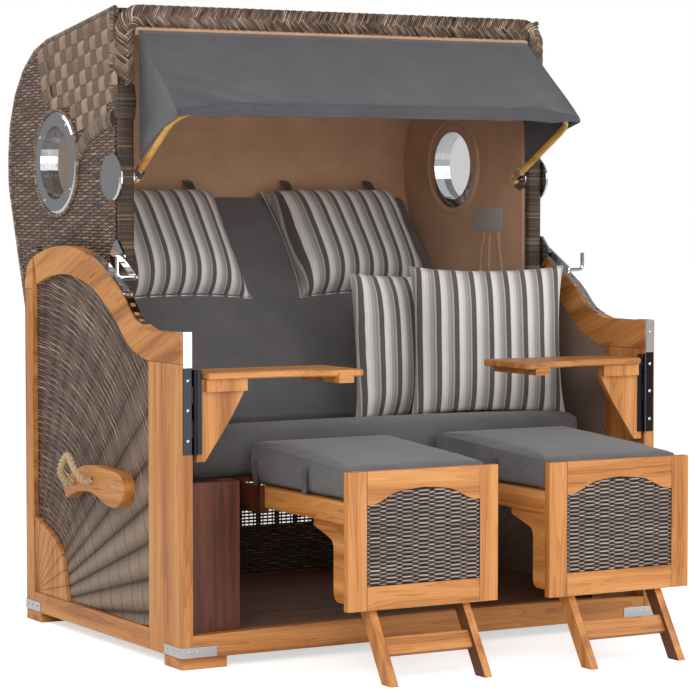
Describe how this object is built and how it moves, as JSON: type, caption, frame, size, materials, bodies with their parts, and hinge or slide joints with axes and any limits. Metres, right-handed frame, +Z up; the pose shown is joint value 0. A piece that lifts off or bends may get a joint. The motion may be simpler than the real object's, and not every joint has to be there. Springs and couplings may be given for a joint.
{
  "type": "hooded beach chair",
  "caption": "Hooded beach chair for two with a reclining woven hood, a folding awning, swing-out side trays, and slide-out footrests on folding legs.",
  "frame": {"origin": "On the ground, below the middle of the whole chair's box with the footrests pulled out.", "axes": "+Z up, -Y towards the open front, +X to the right of someone who looks at the front."},
  "size_m": [1.512, 1.6112, 1.585],
  "materials": {
    "teak": "Oiled light teak with visible straight grain, satin",
    "dark_teak": "Darker reddish teak boards under the seat, satin",
    "pale_wood": "Pale lacquered wood of the awning's bow",
    "wicker": "Round and flat resin strands woven in mottled grey-brown",
    "grey_cloth": "Dark grey outdoor cloth, plain weave",
    "striped_cloth": "Outdoor cloth with off-white, light grey and dark grey stripes",
    "lining_cloth": "Tan lining cloth",
    "rope": "Laid natural rope",
    "chrome": "Polished chrome plating",
    "steel": "Plain bright steel",
    "glass": "Clear flat glass"
  },
  "bodies": {
    "base": {"foot_front_left": "teak", "foot_front_right": "teak", "foot_rear_left": "teak", "foot_rear_right": "teak", "front_rail": "teak", "seat_box": "dark_teak", "back_panel": "wicker", "seat_cushion": "grey_cloth", "footrest_cushion_left": "grey_cloth", "footrest_cushion_right": "grey_cloth", "square_pillow_left": "striped_cloth", "square_pillow_right": "striped_cloth", "side_frame_left": "teak", "side_panel_left": "wicker", "spandrel_left": "teak", "post_leaf_left": "chrome", "notch_strip_left": "steel", "handle_block_left": "teak", "rope_left": "rope", "side_frame_right": "teak", "side_panel_right": "wicker", "spandrel_right": "teak", "post_leaf_right": "chrome", "notch_strip_right": "steel", "handle_block_right": "teak", "rope_right": "rope"},
    "hood": {"hood_shell": "wicker", "hood_lining": "lining_cloth", "hood_rim": "wicker", "porthole_ring_left": "chrome", "porthole_ring_right": "chrome", "porthole_glass_left": "glass", "porthole_glass_right": "glass", "backrest_panel": "teak", "back_cushion": "grey_cloth", "neck_pillow_left": "striped_cloth", "neck_pillow_right": "striped_cloth", "awning_pivot_left": "chrome", "awning_pivot_right": "chrome", "latch_plate_left": "chrome", "latch_plate_right": "chrome"},
    "awning": {"awning_bow": "pale_wood", "canopy": "grey_cloth"},
    "latch_left": {"latch_lever_left": "steel"},
    "tray_left": {"tray_top_left": "teak", "tray_bracket_left": "teak", "tray_leaf_left": "chrome"},
    "footrest_left": {"footrest_panel_left": "teak", "footrest_infill_left": "wicker", "footrest_stool_left": "teak"},
    "legs_left": {"footrest_legs_left": "teak"},
    "latch_right": {"latch_lever_right": "steel"},
    "tray_right": {"tray_top_right": "teak", "tray_bracket_right": "teak", "tray_leaf_right": "chrome"},
    "footrest_right": {"footrest_panel_right": "teak", "footrest_infill_right": "wicker", "footrest_stool_right": "teak"},
    "legs_right": {"footrest_legs_right": "teak"}
  },
  "joints": [
    {"name": "hood_recline", "type": "hinge", "parent": "base", "child": "hood", "pos_m": [0, 0.2206, 0.53], "axis": [-1, 0, 0], "range_deg": [-20, 20]},
    {"name": "awning_fold", "type": "hinge", "parent": "hood", "child": "awning", "pos_m": [0, 0.1456, 1.16], "axis": [-1, 0, 0], "range_deg": [0, 50], "deforming": ["canopy"]},
    {"name": "latch_lift_left", "type": "hinge", "parent": "hood", "child": "latch_left", "pos_m": [-0.6372, 0.0856, 0.965], "axis": [-1, 0, 0], "range_deg": [0, 35]},
    {"name": "tray_swing_left", "type": "hinge", "parent": "base", "child": "tray_left", "pos_m": [-0.646, -0.3457, 0.7], "axis": [0, 0, -1], "range_deg": [0, 120]},
    {"name": "footrest_slide_left", "type": "slide", "parent": "base", "child": "footrest_left", "axis": [0, 1, 0], "range_m": [0, 0.33], "deforming": ["footrest_cushion_left"]},
    {"name": "legs_fold_left", "type": "hinge", "parent": "footrest_left", "child": "legs_left", "pos_m": [-0.2275, -0.6244, 0.2], "axis": [1, 0, 0], "range_deg": [0, 119]},
    {"name": "latch_lift_right", "type": "hinge", "parent": "hood", "child": "latch_right", "pos_m": [0.6372, 0.0856, 0.965], "axis": [-1, 0, 0], "range_deg": [0, 35]},
    {"name": "tray_swing_right", "type": "hinge", "parent": "base", "child": "tray_right", "pos_m": [0.646, -0.3457, 0.7], "axis": [0, 0, 1], "range_deg": [0, 120]},
    {"name": "footrest_slide_right", "type": "slide", "parent": "base", "child": "footrest_right", "axis": [0, 1, 0], "range_m": [0, 0.365], "deforming": ["footrest_cushion_right"]},
    {"name": "legs_fold_right", "type": "hinge", "parent": "footrest_right", "child": "legs_right", "pos_m": [0.3, -0.6594, 0.2], "axis": [1, 0, 0], "range_deg": [0, 119]}
  ]
}
